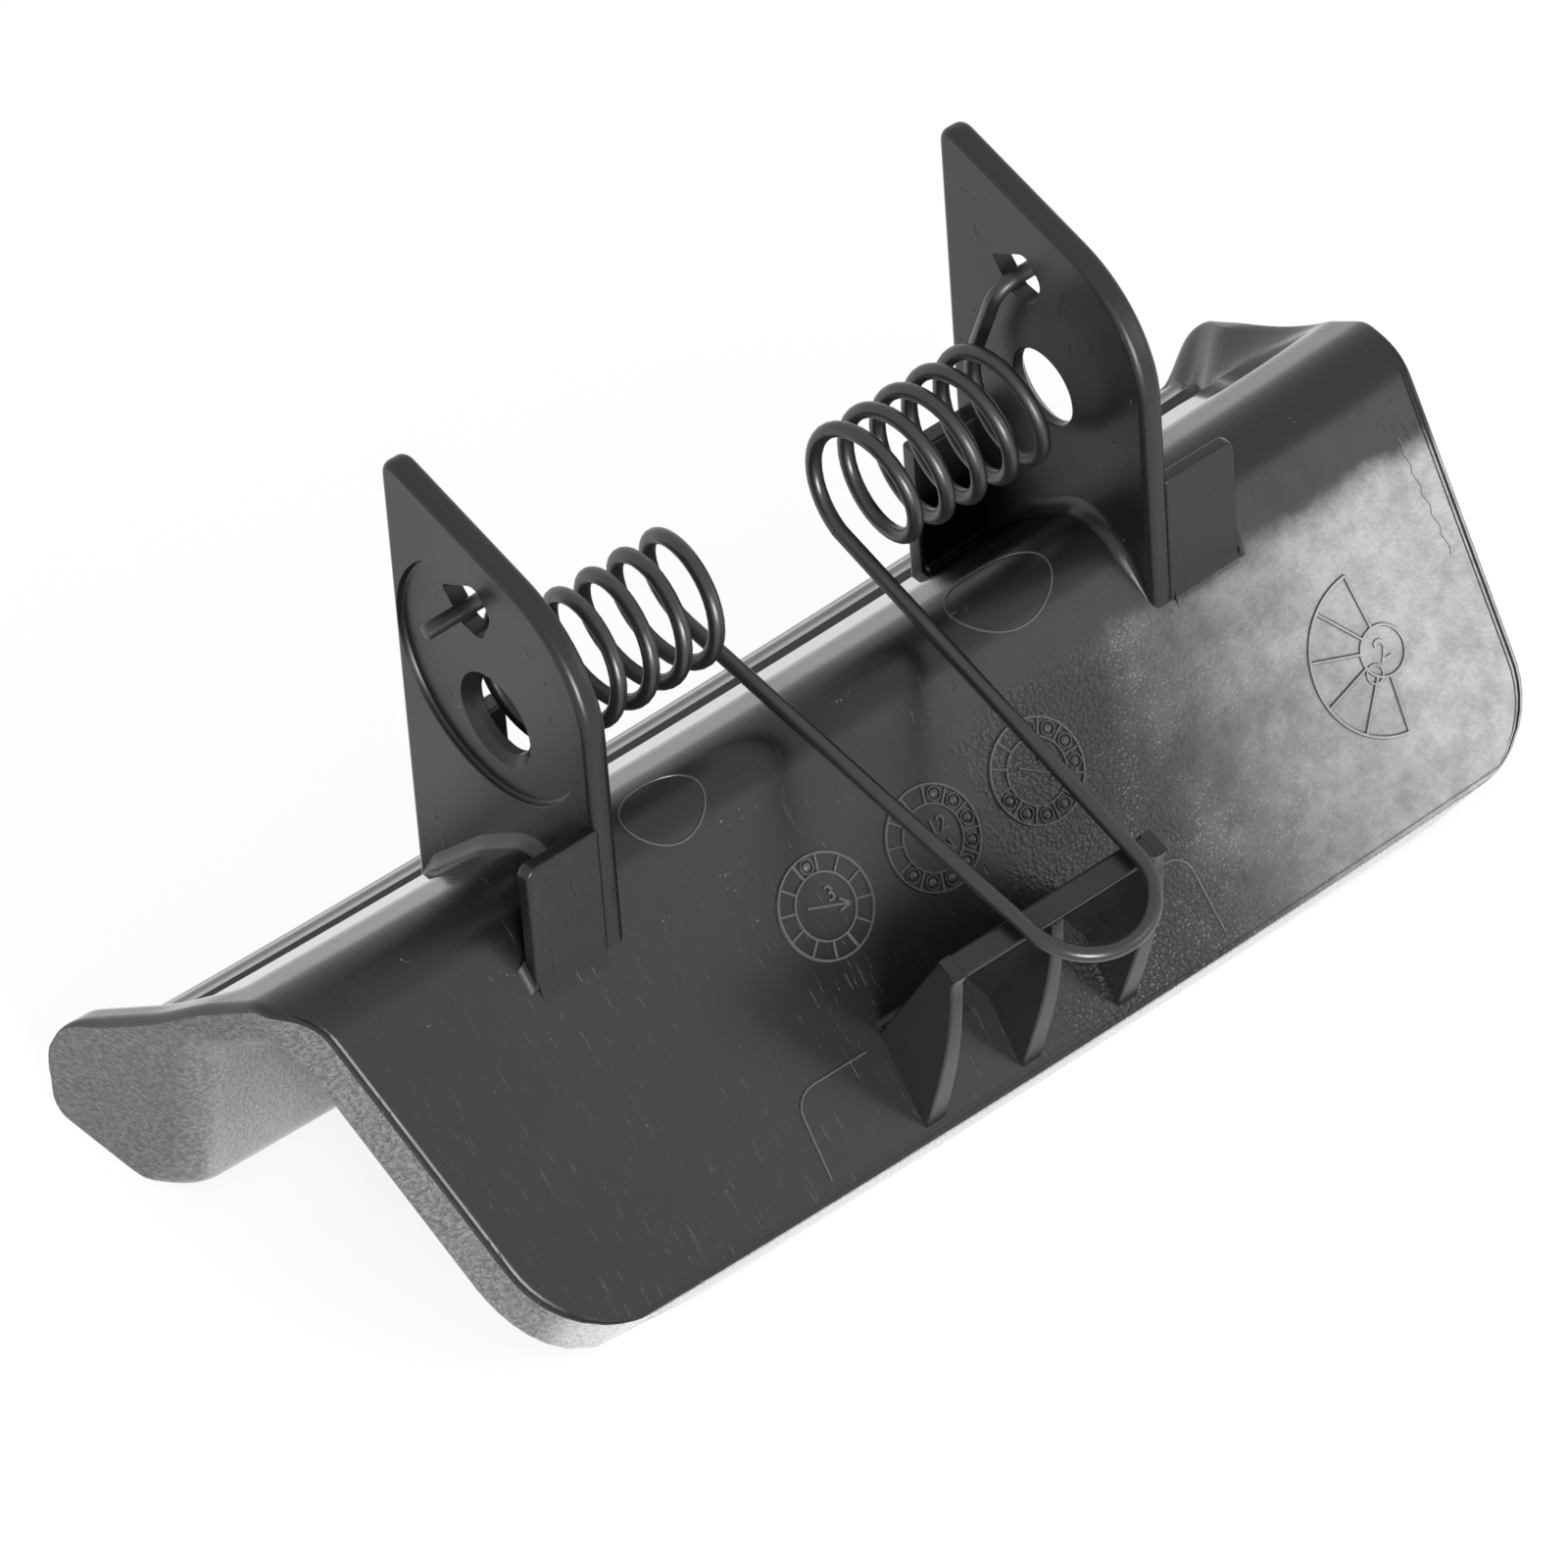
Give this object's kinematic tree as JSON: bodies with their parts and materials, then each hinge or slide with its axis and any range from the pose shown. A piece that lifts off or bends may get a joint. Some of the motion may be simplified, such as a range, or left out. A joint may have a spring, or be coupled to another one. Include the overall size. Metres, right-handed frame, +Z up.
{
  "type": "sprung pull handle",
  "caption": "Moulded pull handle with two pivot ears, a finger recess, a rest rib and a double torsion return spring.",
  "frame": {"origin": "on the pivot axis, midway between the two ears", "axes": "+X along the pivot axis and the handle's length, +Y from the near edge to the far rim, +Z up with the ears upright"},
  "size_m": [0.0975, 0.0514, 0.0489],
  "materials": {
    "handle_plastic": "satin moulded inside, fine grain outside",
    "spring_wire": "satin black coating"
  },
  "bodies": {
    "handle_body": {"handle": "handle_plastic"},
    "spring_body": {"return_spring": "spring_wire"}
  },
  "joints": [
    {"name": "spring_wind", "type": "hinge", "parent": "handle_body", "child": "spring_body", "pos_m": [0, 0.0006, 0.0002], "axis": [-1, 0, 0], "range_deg": [0, 35], "stiffness_Nm_per_rad": 0.18, "springref_deg": -17.19, "deforming": ["return_spring"]}
  ]
}
